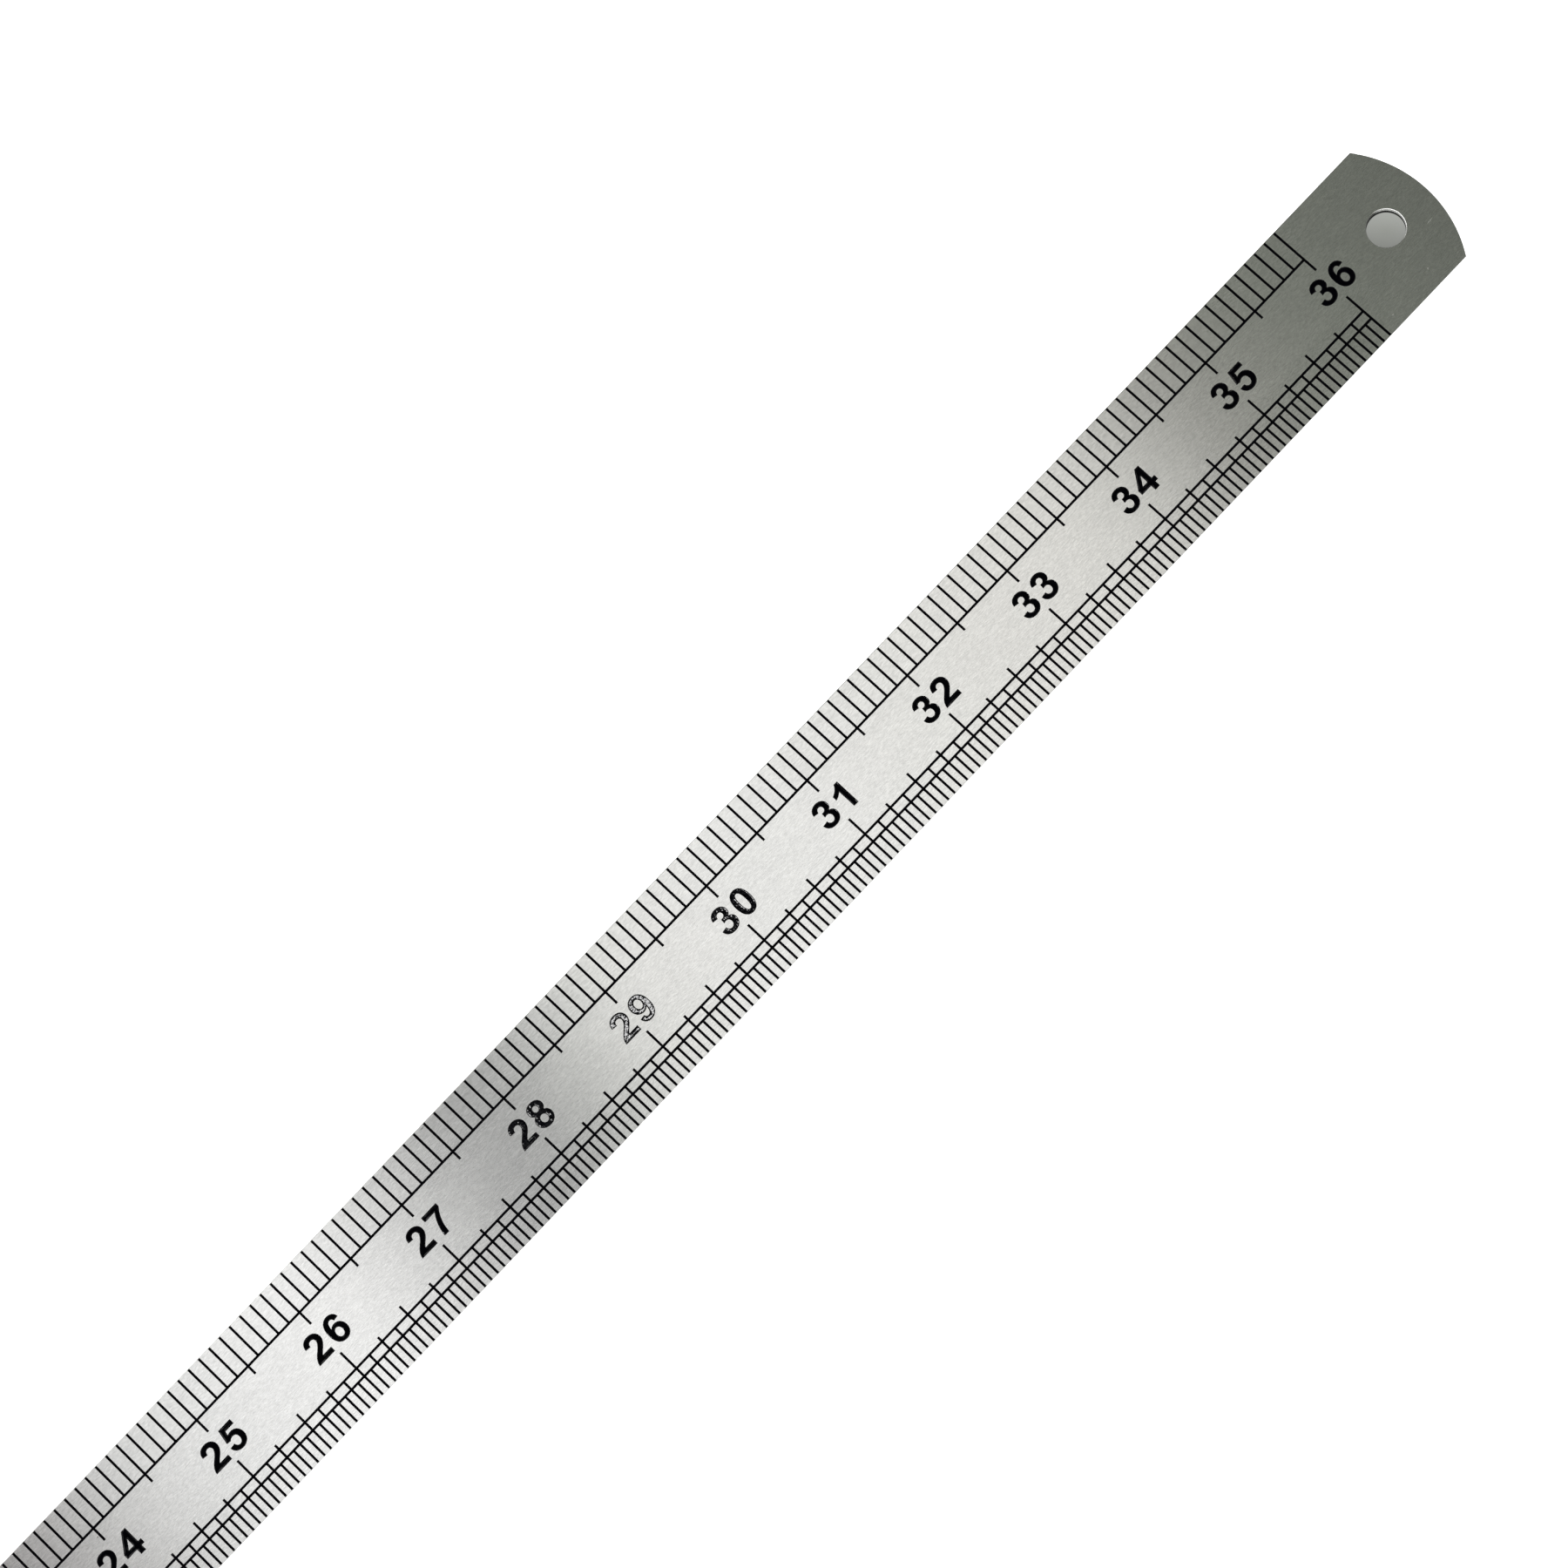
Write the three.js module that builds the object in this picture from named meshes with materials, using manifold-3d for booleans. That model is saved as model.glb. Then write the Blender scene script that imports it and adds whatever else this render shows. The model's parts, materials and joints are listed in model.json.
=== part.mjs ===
// Steel rule, 36 inches, end reading, with a rounded hanging end.
//
// One strip of spring steel carries everything. Its marks are etched pockets in
// the front face, and each pocket is filled flush with black enamel:
//   - a scale of tenths along one edge,
//   - a scale of sixteenths along the other edge,
//   - the inch numerals between them.
// A rule has no moving parts, so nothing here turns or slides.
//
// Frame: millimetres. X runs along the rule from the zero end to the hanging end,
// Y runs across it from the sixteenths edge to the tenths edge, and Z is up, out of
// the graduated face. The origin is the middle of the bottom of the rule's box.

import * as THREE from "three";
import { mergeVertices } from "three/addons/utils/BufferGeometryUtils.js";
import Module from "manifold-3d";

const wasm = await Module();
wasm.setup();

// ---------------------------------------------------------------- dimensions

const INCH = 25.4;
const SCALE_INCHES = 36; // the last graduation
const HANGING_END = 24; // plain steel past the last graduation, on the axis
const LENGTH = SCALE_INCHES * INCH + HANGING_END; // 938.4 overall
const WIDTH = 28;
const THICKNESS = 1;
const ETCH_DEPTH = 1 / 16; // how deep the marks are etched, and how thick the enamel is

// Hanging end: a shallow arc that meets both edges at a corner.
const END_RADIUS = 24.5;
const END_CENTRE_Y = 0.3; // the end was struck a little towards the tenths edge
const END_SEGMENTS = 28;

// Hang hole.
const HOLE_DIAMETER = 7.2;
const HOLE_FROM_TIP = 10.15;
const HOLE_Y = -0.15;
const HOLE_SEGMENTS = 32;

// Graduations. Ticks and long lines are the same weight.
const LINE = 0.44;
const TENTHS_LINE_Y = 6.6; // the long line of the tenths scale
const TENTHS_TIP_Y = 13.7; // ticks stop just short of the rounded edge
const TENTHS_HALF_Y = 4.74; // the half inch ticks cross the long line
const TENTHS_INCH_Y = 3.7; // the inch ticks reach furthest in
const TENTHS_STEP = 1; // inches between the ticks that are cut as solids

const SIXTEENTHS_TIP_Y = -13.9;
const INNER_LINE_Y = -7.42; // the two long lines of the sixteenths scale
const OUTER_LINE_Y = -9.37;
const SIXTEENTHS_QUARTER_Y = -6.35; // ticks cross both lines, and reach further in
const SIXTEENTHS_HALF_Y = -5.37;
const SIXTEENTHS_INCH_Y = -3.45;
const SIXTEENTHS_STEP = 1; // inches between the ticks that are cut as solids

// Numerals: upright on the inch mark, read with the tenths edge on top.
const NUMERAL_HEIGHT = 5.1;
const NUMERAL_BASE_Y = -2.52;
const TENS_CELL_X = -4.216; // where the tens digit's cell starts, from the inch mark
const UNITS_CELL_X = 0.364; // where the units digit's cell starts
const SINGLE_CELL_X = -1.965; // where the only digit's cell starts, for 1 to 9
const CURVE_STEPS = 2; // straight pieces to each curve of a digit
const BRIDGE = 0.04; // width of the hair line that ties a numeral's two digits

// ------------------------------------------------------------------ colours

const steel = new THREE.MeshStandardMaterial({
  name: "steel",
  color: 0xb9bab6,
  roughness: 0.36,
  metalness: 1,
});
const enamel = new THREE.MeshStandardMaterial({
  name: "enamel",
  color: 0x0b0b0d,
  roughness: 0.18,
  metalness: 0,
});

// -------------------------------------------------------------- digit shapes
// Each digit is drawn on a square grid with 0 at its own left edge and on the
// base line, and 100 at the height of the figures. M moves, L draws a line and C
// draws a cubic curve. The first outline is the body, the others are counters.
// space is the gap between the cell's start and the digit's left edge.

const ring = (cx, cy, rx, ry) => {
  const k = 0.56;
  return [
    ["M", cx, cy + ry],
    ["C", cx + k * rx, cy + ry, cx + rx, cy + k * ry, cx + rx, cy],
    ["C", cx + rx, cy - k * ry, cx + k * rx, cy - ry, cx, cy - ry],
    ["C", cx - k * rx, cy - ry, cx - rx, cy - k * ry, cx - rx, cy],
    ["C", cx - rx, cy + k * ry, cx - k * rx, cy + ry, cx, cy + ry],
  ];
};

const SIX = [
  [
    ["M", 67.5, 76.5],
    ["C", 64.5, 92.5, 53.8, 100.8, 38.5, 100.8],
    ["C", 14.5, 100.8, 0.5, 80.5, 0.5, 48.5],
    ["C", 0.5, 17, 14.5, -1.2, 37.5, -1.2],
    ["C", 57, -1.2, 70.5, 12.5, 70.5, 32.8],
    ["C", 70.5, 52, 58, 65.5, 41, 65.5],
    ["C", 32.5, 65.5, 26, 62.5, 20.6, 56],
    ["C", 21.6, 76, 28, 85.2, 37.5, 85.2],
    ["C", 44.5, 85.2, 48.3, 81.5, 49.3, 74],
  ],
  ring(36.5, 32.8, 14.8, 18.8),
];

const halfTurn = (outlines, width) =>
  outlines.map((outline) =>
    outline.map(([command, ...numbers]) => [
      command,
      ...numbers.map((n, i) => (i % 2 ? 99.6 - n : width - n)),
    ]),
  );

const DIGITS = {
  0: {
    space: 5.5,
    outlines: [
      [
        ["M", 34.5, 100.8],
        ["C", 12.5, 100.8, 0.5, 82, 0.5, 49.8],
        ["C", 0.5, 17.5, 12.5, -1.2, 34.5, -1.2],
        ["C", 56.5, -1.2, 68.5, 17.5, 68.5, 49.8],
        ["C", 68.5, 82, 56.5, 100.8, 34.5, 100.8],
      ],
      [
        ["M", 34.5, 86],
        ["C", 44, 86, 48.3, 73, 48.3, 49.8],
        ["C", 48.3, 26.5, 44, 14, 34.5, 14],
        ["C", 25, 14, 20.8, 26.5, 20.8, 49.8],
        ["C", 20.8, 73, 25, 86, 34.5, 86],
      ],
    ],
  },
  1: {
    space: 11,
    outlines: [
      [
        ["M", 48, -0.5],
        ["L", 48, 100.8],
        ["L", 32.4, 100.8],
        ["C", 30.2, 94.6, 25.7, 89, 19, 83.8],
        ["C", 12.3, 78.6, 6, 75.2, 0.3, 73.3],
        ["L", 0.3, 57],
        ["C", 11, 60, 20.5, 64.8, 28.5, 71.3],
        ["L", 28.5, -0.5],
      ],
    ],
  },
  2: {
    space: 3.5,
    outlines: [
      [
        ["M", 0, 0],
        ["L", 71, 0],
        ["L", 71, 18],
        ["L", 31.5, 18],
        ["C", 38, 27.5, 50, 36, 57.5, 43.5],
        ["C", 66, 52, 70.5, 61.5, 70.5, 71.5],
        ["C", 70.5, 89, 57, 101, 37, 101],
        ["C", 17, 101, 4.5, 91, 3, 71.3],
        ["L", 22, 69.3],
        ["C", 22.5, 79.5, 28.5, 84, 36.5, 84],
        ["C", 44.5, 84, 50, 79, 50, 71.5],
        ["C", 50, 65.5, 47, 60, 41, 53],
        ["C", 35, 46, 24, 37.5, 16, 30],
        ["C", 7, 21, 1.5, 11, 0, 0],
      ],
    ],
  },
  3: {
    space: 5.3,
    outlines: [
      [
        ["M", 2.3, 75],
        ["L", 20.8, 71.6],
        ["C", 22.5, 80.5, 28, 85, 35, 85],
        ["C", 42, 85, 46.8, 80, 46.8, 73.3],
        ["C", 46.8, 65.5, 41.5, 60.3, 33, 60.3],
        ["L", 28.5, 60.5],
        ["L", 27, 45.2],
        ["C", 30, 46.1, 33, 46.5, 36, 46.5],
        ["C", 45, 46.5, 51, 40.5, 51, 31],
        ["C", 51, 20.5, 44.5, 14, 35.8, 14],
        ["C", 27.5, 14, 21.2, 19.5, 20, 29.3],
        ["L", 0.5, 26.5],
        ["C", 2.2, 9.5, 15, -1, 35.6, -1],
        ["C", 57, -1, 71.8, 12.5, 71.8, 31],
        ["C", 71.8, 43, 64.5, 51, 53, 53.3],
        ["C", 62, 57.2, 67, 64.5, 67, 74],
        ["C", 67, 90, 53.5, 101, 35.5, 101],
        ["C", 18, 101, 5, 91.5, 2.3, 75],
      ],
    ],
  },
  4: {
    space: 2.5,
    outlines: [
      [
        ["M", 44.8, -0.5],
        ["L", 65, -0.5],
        ["L", 65, 20.5],
        ["L", 78.3, 20.5],
        ["L", 78.3, 37.3],
        ["L", 65, 37.3],
        ["L", 65, 101],
        ["L", 47.3, 101],
        ["L", 0.5, 37.8],
        ["L", 0.5, 20.5],
        ["L", 44.8, 20.5],
      ],
      [
        ["M", 45.2, 37.3],
        ["L", 20.6, 37.3],
        ["L", 45.2, 70.6],
      ],
    ],
  },
  5: {
    space: 6.1,
    outlines: [
      [
        ["M", 12, 98.5],
        ["L", 2.3, 47],
        ["L", 17.5, 44.8],
        ["C", 22, 49.3, 27.5, 51.8, 33.6, 51.8],
        ["C", 43.8, 51.8, 50, 45.2, 50, 33.4],
        ["C", 50, 21, 43.8, 13.6, 34.6, 13.6],
        ["C", 27, 13.6, 21.2, 19, 19.7, 28.2],
        ["L", 0.3, 26],
        ["C", 2.2, 9.5, 14.5, -1.2, 34, -1.2],
        ["C", 55.5, -1.2, 70.5, 13.5, 70.5, 35],
        ["C", 70.5, 54, 57.5, 68, 40, 68],
        ["C", 34.5, 68, 29, 67, 23.6, 64.5],
        ["L", 26.8, 81],
        ["L", 66, 81],
        ["L", 66, 98.5],
      ],
    ],
  },
  6: { space: 5.7, outlines: SIX },
  7: {
    space: 5.9,
    outlines: [
      [
        ["M", 0.5, 98.5],
        ["L", 0.5, 80.5],
        ["L", 47.5, 80.5],
        ["C", 30, 58, 18.5, 29, 15.5, -0.5],
        ["L", 35, -0.5],
        ["C", 37.5, 37, 53, 67, 70, 84.5],
        ["L", 70, 98.5],
      ],
    ],
  },
  8: {
    space: 5,
    outlines: [
      [
        ["M", 35, 101],
        ["C", 16, 101, 3.8, 90.5, 3.8, 75],
        ["C", 3.8, 66.3, 8.5, 58.5, 17, 54.3],
        ["C", 6.5, 50, 0.5, 41.5, 0.5, 30],
        ["C", 0.5, 11.5, 14.5, -1.2, 35.5, -1.2],
        ["C", 56.5, -1.2, 70.5, 12, 70.5, 30.5],
        ["C", 70.5, 41.5, 64.5, 49.8, 54, 54.2],
        ["C", 62, 58.5, 66.8, 66, 66.8, 75.5],
        ["C", 66.8, 90.5, 54.5, 101, 35, 101],
      ],
      ring(35.2, 73.5, 12, 12.5),
      ring(35.5, 29.8, 14.8, 16.2),
    ],
  },
  9: { space: 5.2, outlines: halfTurn(SIX, 70) },
};

// Where the hair line inside a numeral may end: a point in the digit's own metal.
const BRIDGE_HEIGHT = 9;
const BRIDGE_FROM = { 1: 38, 2: 50, 3: 45 };
const BRIDGE_TO = { 0: 26, 1: 38, 2: 40, 3: 30, 4: 54, 5: 30, 6: 34, 7: 27, 8: 34, 9: 30 };

// ------------------------------------------------------------------- helpers

const inchX = (inches) => inches * INCH - LENGTH / 2;

// A solid from a closed geometry whose shared corners are merged.
function solidFrom(geometry) {
  geometry.deleteAttribute("normal");
  geometry.deleteAttribute("uv");
  const merged = mergeVertices(geometry, 1e-4);
  return new wasm.Manifold(
    new wasm.Mesh({
      numProp: 3,
      vertProperties: new Float32Array(merged.attributes.position.array),
      triVerts: new Uint32Array(merged.index.array),
    }),
  );
}

// A three.js mesh from a solid.
function meshFrom(solid, name, material) {
  const { numProp, vertProperties, triVerts } = solid.getMesh();
  const position = new Float32Array((vertProperties.length / numProp) * 3);
  for (let i = 0; i < position.length / 3; i++)
    position.set(vertProperties.subarray(i * numProp, i * numProp + 3), i * 3);
  const geometry = new THREE.BufferGeometry()
    .setAttribute("position", new THREE.BufferAttribute(position, 3))
    .setIndex(new THREE.BufferAttribute(new Uint32Array(triVerts), 1));
  geometry.computeVertexNormals();
  const mesh = new THREE.Mesh(geometry, material);
  mesh.name = name;
  return mesh;
}

// A flat outline raised from z0 to z1.
function raise(shape, z0, z1, curveSegments = 1) {
  const geometry = new THREE.ExtrudeGeometry(shape, {
    depth: z1 - z0,
    bevelEnabled: false,
    curveSegments,
  });
  geometry.translate(0, 0, z0);
  return solidFrom(geometry);
}

// A mark is drawn twice: once as the enamel that fills it, up to the face, and
// once taller, as the cutter that etches its pocket.
const ENAMEL_SPAN = [THICKNESS - ETCH_DEPTH, THICKNESS];
const CUTTER_SPAN = [THICKNESS - ETCH_DEPTH, THICKNESS + 1];

function bar(x0, x1, y0, y1, [z0, z1]) {
  const geometry = new THREE.BoxGeometry(x1 - x0, y1 - y0, z1 - z0);
  geometry.translate((x0 + x1) / 2, (y0 + y1) / 2, (z0 + z1) / 2);
  return solidFrom(geometry);
}

// One solid from several, with the seams between them smoothed out of flat faces.
function joined(solids) {
  return solids.reduce((all, one) => all.add(one)).asOriginal();
}

// -------------------------------------------------------------------- scales

// Is this distance a whole number of steps?
const falls = (inches, step) =>
  Math.abs(inches / step - Math.round(inches / step)) < 1e-6;

// The ticks of a scale, from the first one past zero: where each stands, and how
// far in it reaches.
function ticks(step, inchY, halfY, restY) {
  const list = [];
  for (let i = 1; i * step <= SCALE_INCHES + 1e-9; i++) {
    const at = i * step;
    list.push({
      x: inchX(at),
      inner: falls(at, 1) ? inchY : falls(at, 0.5) ? halfY : restY,
    });
  }
  return list;
}

// Follows one side of a long line from tick to tick. Each tick is a square tooth
// that reaches from the side of the line to its tip; a tick with no tip is passed.
function teeth(list, side, tipOf) {
  return list.flatMap((tick) => {
    const tip = tipOf(tick);
    const [a, b] = [tick.x - LINE / 2, tick.x + LINE / 2];
    return tip === side
      ? [[b, side]]
      : [
          [a, side],
          [a, tip],
          [b, tip],
          [b, side],
        ];
  });
}

// One outline from a left end, the teeth of the lower side read left to right, and
// the teeth of the upper side read right to left. The last tick closes the line.
function comb(startX, low, lowTeeth, high, highTeeth) {
  const shape = new THREE.Shape();
  shape.moveTo(startX, high);
  shape.lineTo(startX, low);
  const trim = (points, side) =>
    points[points.length - 1][1] === side ? points.slice(0, -1) : points;
  for (const [x, y] of trim(lowTeeth, low)) shape.lineTo(x, y);
  for (const [x, y] of trim(highTeeth, high).reverse()) shape.lineTo(x, y);
  return shape;
}

function tenthsScale(span) {
  const list = ticks(TENTHS_STEP, TENTHS_INCH_Y, TENTHS_HALF_Y, null);
  const [low, high] = [TENTHS_LINE_Y - LINE / 2, TENTHS_LINE_Y + LINE / 2];
  return raise(
    comb(
      inchX(0) + LINE,
      low,
      teeth(
        list.filter((t) => t.inner !== null),
        low,
        (t) => t.inner,
      ),
      high,
      teeth(list, high, () => TENTHS_TIP_Y),
    ),
    ...span,
  );
}

function sixteenthsScale(span) {
  const list = ticks(SIXTEENTHS_STEP, SIXTEENTHS_INCH_Y, SIXTEENTHS_HALF_Y, SIXTEENTHS_QUARTER_Y);
  const [low, high] = [OUTER_LINE_Y - LINE / 2, INNER_LINE_Y + LINE / 2];
  const shape = comb(
    inchX(0) + LINE,
    low,
    teeth(list, low, () => SIXTEENTHS_TIP_Y),
    high,
    teeth(list, high, (t) => t.inner),
  );
  // The steel that shows between the two long lines, one window from tick to tick.
  const windows = list.map((tick, i) =>
    bar(
      i ? list[i - 1].x + LINE / 2 : inchX(0) + 2 * LINE,
      tick.x - LINE / 2,
      OUTER_LINE_Y + LINE / 2,
      INNER_LINE_Y - LINE / 2,
      [span[0] - 1, span[1] + 1],
    ),
  );
  return windows
    .reduce((scale, opening) => scale.subtract(opening), raise(shape, ...span))
    .asOriginal();
}

// ------------------------------------------------------------------ numerals

const unit = NUMERAL_HEIGHT / 100;

function digitSolid(digit, cellX, span) {
  const { space, outlines } = DIGITS[digit];
  const x0 = cellX + space * unit;
  const place = (numbers) =>
    numbers.map((n, i) => (i % 2 ? NUMERAL_BASE_Y : x0) + n * unit);
  const draw = (path, outline) => {
    for (const [command, ...numbers] of outline) {
      const at = place(numbers);
      if (command === "M") path.moveTo(...at);
      if (command === "L") path.lineTo(...at);
      if (command === "C") path.bezierCurveTo(...at);
    }
    return path;
  };
  const shape = draw(new THREE.Shape(), outlines[0]);
  shape.holes = outlines.slice(1).map((o) => draw(new THREE.Path(), o));
  return raise(shape, ...span, CURVE_STEPS);
}

function numeral(number, span) {
  const digits = String(number).split("").map(Number);
  const mark = inchX(number);
  if (digits.length === 1)
    return digitSolid(digits[0], mark + SINGLE_CELL_X, span);
  const [tens, units] = digits;
  const y = NUMERAL_BASE_Y + BRIDGE_HEIGHT * unit;
  return joined([
    digitSolid(tens, mark + TENS_CELL_X, span),
    digitSolid(units, mark + UNITS_CELL_X, span),
    bar(
      mark + TENS_CELL_X + (DIGITS[tens].space + BRIDGE_FROM[tens]) * unit,
      mark + UNITS_CELL_X + (DIGITS[units].space + BRIDGE_TO[units]) * unit,
      y - BRIDGE / 2,
      y + BRIDGE / 2,
      span,
    ),
  ]);
}

// --------------------------------------------------------------------- blade

function blank() {
  const half = WIDTH / 2;
  const cx = LENGTH / 2 - END_RADIUS;
  const top = Math.asin((half - END_CENTRE_Y) / END_RADIUS);
  const bottom = Math.asin((-half - END_CENTRE_Y) / END_RADIUS);
  const shape = new THREE.Shape();
  shape.moveTo(-LENGTH / 2, half);
  shape.lineTo(-LENGTH / 2, -half);
  for (let i = 0; i <= END_SEGMENTS; i++) {
    const a = bottom + ((top - bottom) * i) / END_SEGMENTS;
    const y = i === 0 ? -half : i === END_SEGMENTS ? half : END_CENTRE_Y + END_RADIUS * Math.sin(a);
    shape.lineTo(Math.min(cx + END_RADIUS * Math.cos(a), LENGTH / 2), y);
  }
  const hole = new THREE.Path();
  for (let i = 0; i < HOLE_SEGMENTS; i++) {
    const a = (-2 * Math.PI * i) / HOLE_SEGMENTS;
    const x = LENGTH / 2 - HOLE_FROM_TIP + (HOLE_DIAMETER / 2) * Math.cos(a);
    const y = HOLE_Y + (HOLE_DIAMETER / 2) * Math.sin(a);
    if (i === 0) hole.moveTo(x, y);
    else hole.lineTo(x, y);
  }
  shape.holes = [hole];
  return raise(shape, 0, THICKNESS);
}

// ---------------------------------------------------------------------- rule

const numbers = Array.from({ length: SCALE_INCHES }, (_, i) => i + 1);

const blade = [
  tenthsScale(CUTTER_SPAN),
  sixteenthsScale(CUTTER_SPAN),
  ...numbers.map((n) => numeral(n, CUTTER_SPAN)),
]
  .reduce((strip, cutter) => strip.subtract(cutter), blank())
  .asOriginal();

const group = new THREE.Group();
group.name = "steel_rule";
group.add(meshFrom(blade, "blade", steel));
group.add(meshFrom(tenthsScale(ENAMEL_SPAN), "tenths_scale_enamel", enamel));
group.add(
  meshFrom(sixteenthsScale(ENAMEL_SPAN), "sixteenths_scale_enamel", enamel),
);
for (const n of numbers)
  group.add(
    meshFrom(
      numeral(n, ENAMEL_SPAN),
      `numeral_${String(n).padStart(2, "0")}_enamel`,
      enamel,
    ),
  );

export default group;
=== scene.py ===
"""Steel rule, 36 inches: the looks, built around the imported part.

The blade is one strip of brushed stainless steel with etched pockets in its face, and every mark is a pool of
black enamel that lies in its pocket: it climbs the pocket's wall a little and is dished in the middle.
All shapes are worked out in millimetres in the part's own frame and turned into metres when the meshes are made.
"""

import json
import math

import bpy
import numpy as np
from mathutils import Matrix, Quaternion, Vector
from mathutils.geometry import delaunay_2d_cdt

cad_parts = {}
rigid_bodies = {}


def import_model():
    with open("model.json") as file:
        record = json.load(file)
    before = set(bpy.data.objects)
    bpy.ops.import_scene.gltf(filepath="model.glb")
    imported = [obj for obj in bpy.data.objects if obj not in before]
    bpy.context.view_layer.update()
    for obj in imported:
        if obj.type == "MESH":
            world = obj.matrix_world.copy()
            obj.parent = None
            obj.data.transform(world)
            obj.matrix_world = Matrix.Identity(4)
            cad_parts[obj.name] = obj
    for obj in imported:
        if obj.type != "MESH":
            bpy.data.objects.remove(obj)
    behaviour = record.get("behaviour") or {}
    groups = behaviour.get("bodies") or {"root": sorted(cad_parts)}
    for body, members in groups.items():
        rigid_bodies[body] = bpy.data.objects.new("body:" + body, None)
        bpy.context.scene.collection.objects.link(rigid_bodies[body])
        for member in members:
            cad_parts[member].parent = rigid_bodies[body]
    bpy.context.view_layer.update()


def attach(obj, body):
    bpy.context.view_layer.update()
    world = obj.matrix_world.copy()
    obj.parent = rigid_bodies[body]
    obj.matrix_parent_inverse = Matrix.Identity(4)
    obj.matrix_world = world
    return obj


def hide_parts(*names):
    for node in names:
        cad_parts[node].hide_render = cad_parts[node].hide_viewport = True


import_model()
scene = bpy.context.scene
MM = 0.001

# ------------------------------------------------------------------ dimensions (mm), as in the part
INCH = 25.4
SCALE_INCHES = 36
LENGTH = 938.4
WIDTH = 28.0
T = 1.0
HALF = WIDTH / 2

END_RADIUS = 24.5
END_CENTRE_Y = 0.3
HOLE_R = 3.53
HOLE_X = LENGTH / 2 - 10.15
HOLE_Y = -0.15

LINE = 0.46
BOLD = 0.05  # how much wider than the drawn figures the enamel spreads, on each side
TENTHS_LINE_Y = 6.6
TENTHS_TIP_Y = HALF - 0.17
TENTHS_HALF_Y = 4.74
TENTHS_INCH_Y = 3.70
INNER_LINE_Y = -7.42
OUTER_LINE_Y = -9.37
SIXTEENTHS_TIP_Y = -HALF + 0.07
SIXTEENTHS_QUARTER_Y = -6.35
SIXTEENTHS_HALF_Y = -5.37
SIXTEENTHS_INCH_Y = -3.45

NUMERAL_HEIGHT = 5.1
NUMERAL_BASE_Y = -2.52
TENS_CELL_X = -4.216
UNITS_CELL_X = 0.364
SINGLE_CELL_X = -1.965

ETCH = 0.060  # depth of the pockets
EDGE_TENTHS = 0.15  # how far each edge of the steel is rounded over
EDGE_SIXTEENTHS = 0.05
EDGE_END = 0.10


def inch_x(i):
    return i * INCH - LENGTH / 2


# ------------------------------------------------------------------ camera
cam_data = bpy.data.cameras.new("camera")
cam = bpy.data.objects.new("camera", cam_data)
scene.collection.objects.link(cam)
scene.camera = cam
cam_data.sensor_fit = "HORIZONTAL"
cam_data.sensor_width = 36.0
cam_data.lens = 115.474
cam_data.clip_start = 0.01
cam_data.clip_end = 50
turn = Vector((0.228110232, 0.016585461, -0.812794600))
cam.rotation_mode = "QUATERNION"
cam.rotation_quaternion = Quaternion(turn.normalized(), turn.length)
cam.location = (0.251402, -0.173287, 0.855190)

# ------------------------------------------------------------------ digit shapes
# Each digit is drawn with 0 at its own left edge and on the base line and 100 at the height of the figures.
# M moves, L draws a line, C draws a cubic curve. The first outline is the body, the others are counters.


def ring(cx, cy, rx, ry):
    k = 0.56
    return [
        ("M", cx, cy + ry),
        ("C", cx + k * rx, cy + ry, cx + rx, cy + k * ry, cx + rx, cy),
        ("C", cx + rx, cy - k * ry, cx + k * rx, cy - ry, cx, cy - ry),
        ("C", cx - k * rx, cy - ry, cx - rx, cy - k * ry, cx - rx, cy),
        ("C", cx - rx, cy + k * ry, cx - k * rx, cy + ry, cx, cy + ry),
    ]


SIX = [
    [
        ("M", 67.5, 76.5),
        ("C", 64.5, 92.5, 53.8, 100.8, 38.5, 100.8),
        ("C", 14.5, 100.8, 0.5, 80.5, 0.5, 48.5),
        ("C", 0.5, 17, 14.5, -1.2, 37.5, -1.2),
        ("C", 57, -1.2, 70.5, 12.5, 70.5, 32.8),
        ("C", 70.5, 52, 58, 65.5, 41, 65.5),
        ("C", 32.5, 65.5, 26, 62.5, 20.6, 56),
        ("C", 21.6, 76, 28, 85.2, 37.5, 85.2),
        ("C", 44.5, 85.2, 48.3, 81.5, 49.3, 74),
    ],
    ring(36.5, 32.8, 14.8, 18.8),
]


def half_turn(outlines, width):
    return [
        [
            (o[0],)
            + tuple((99.6 - n) if i % 2 else (width - n) for i, n in enumerate(o[1:]))
            for o in outline
        ]
        for outline in outlines
    ]


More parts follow.
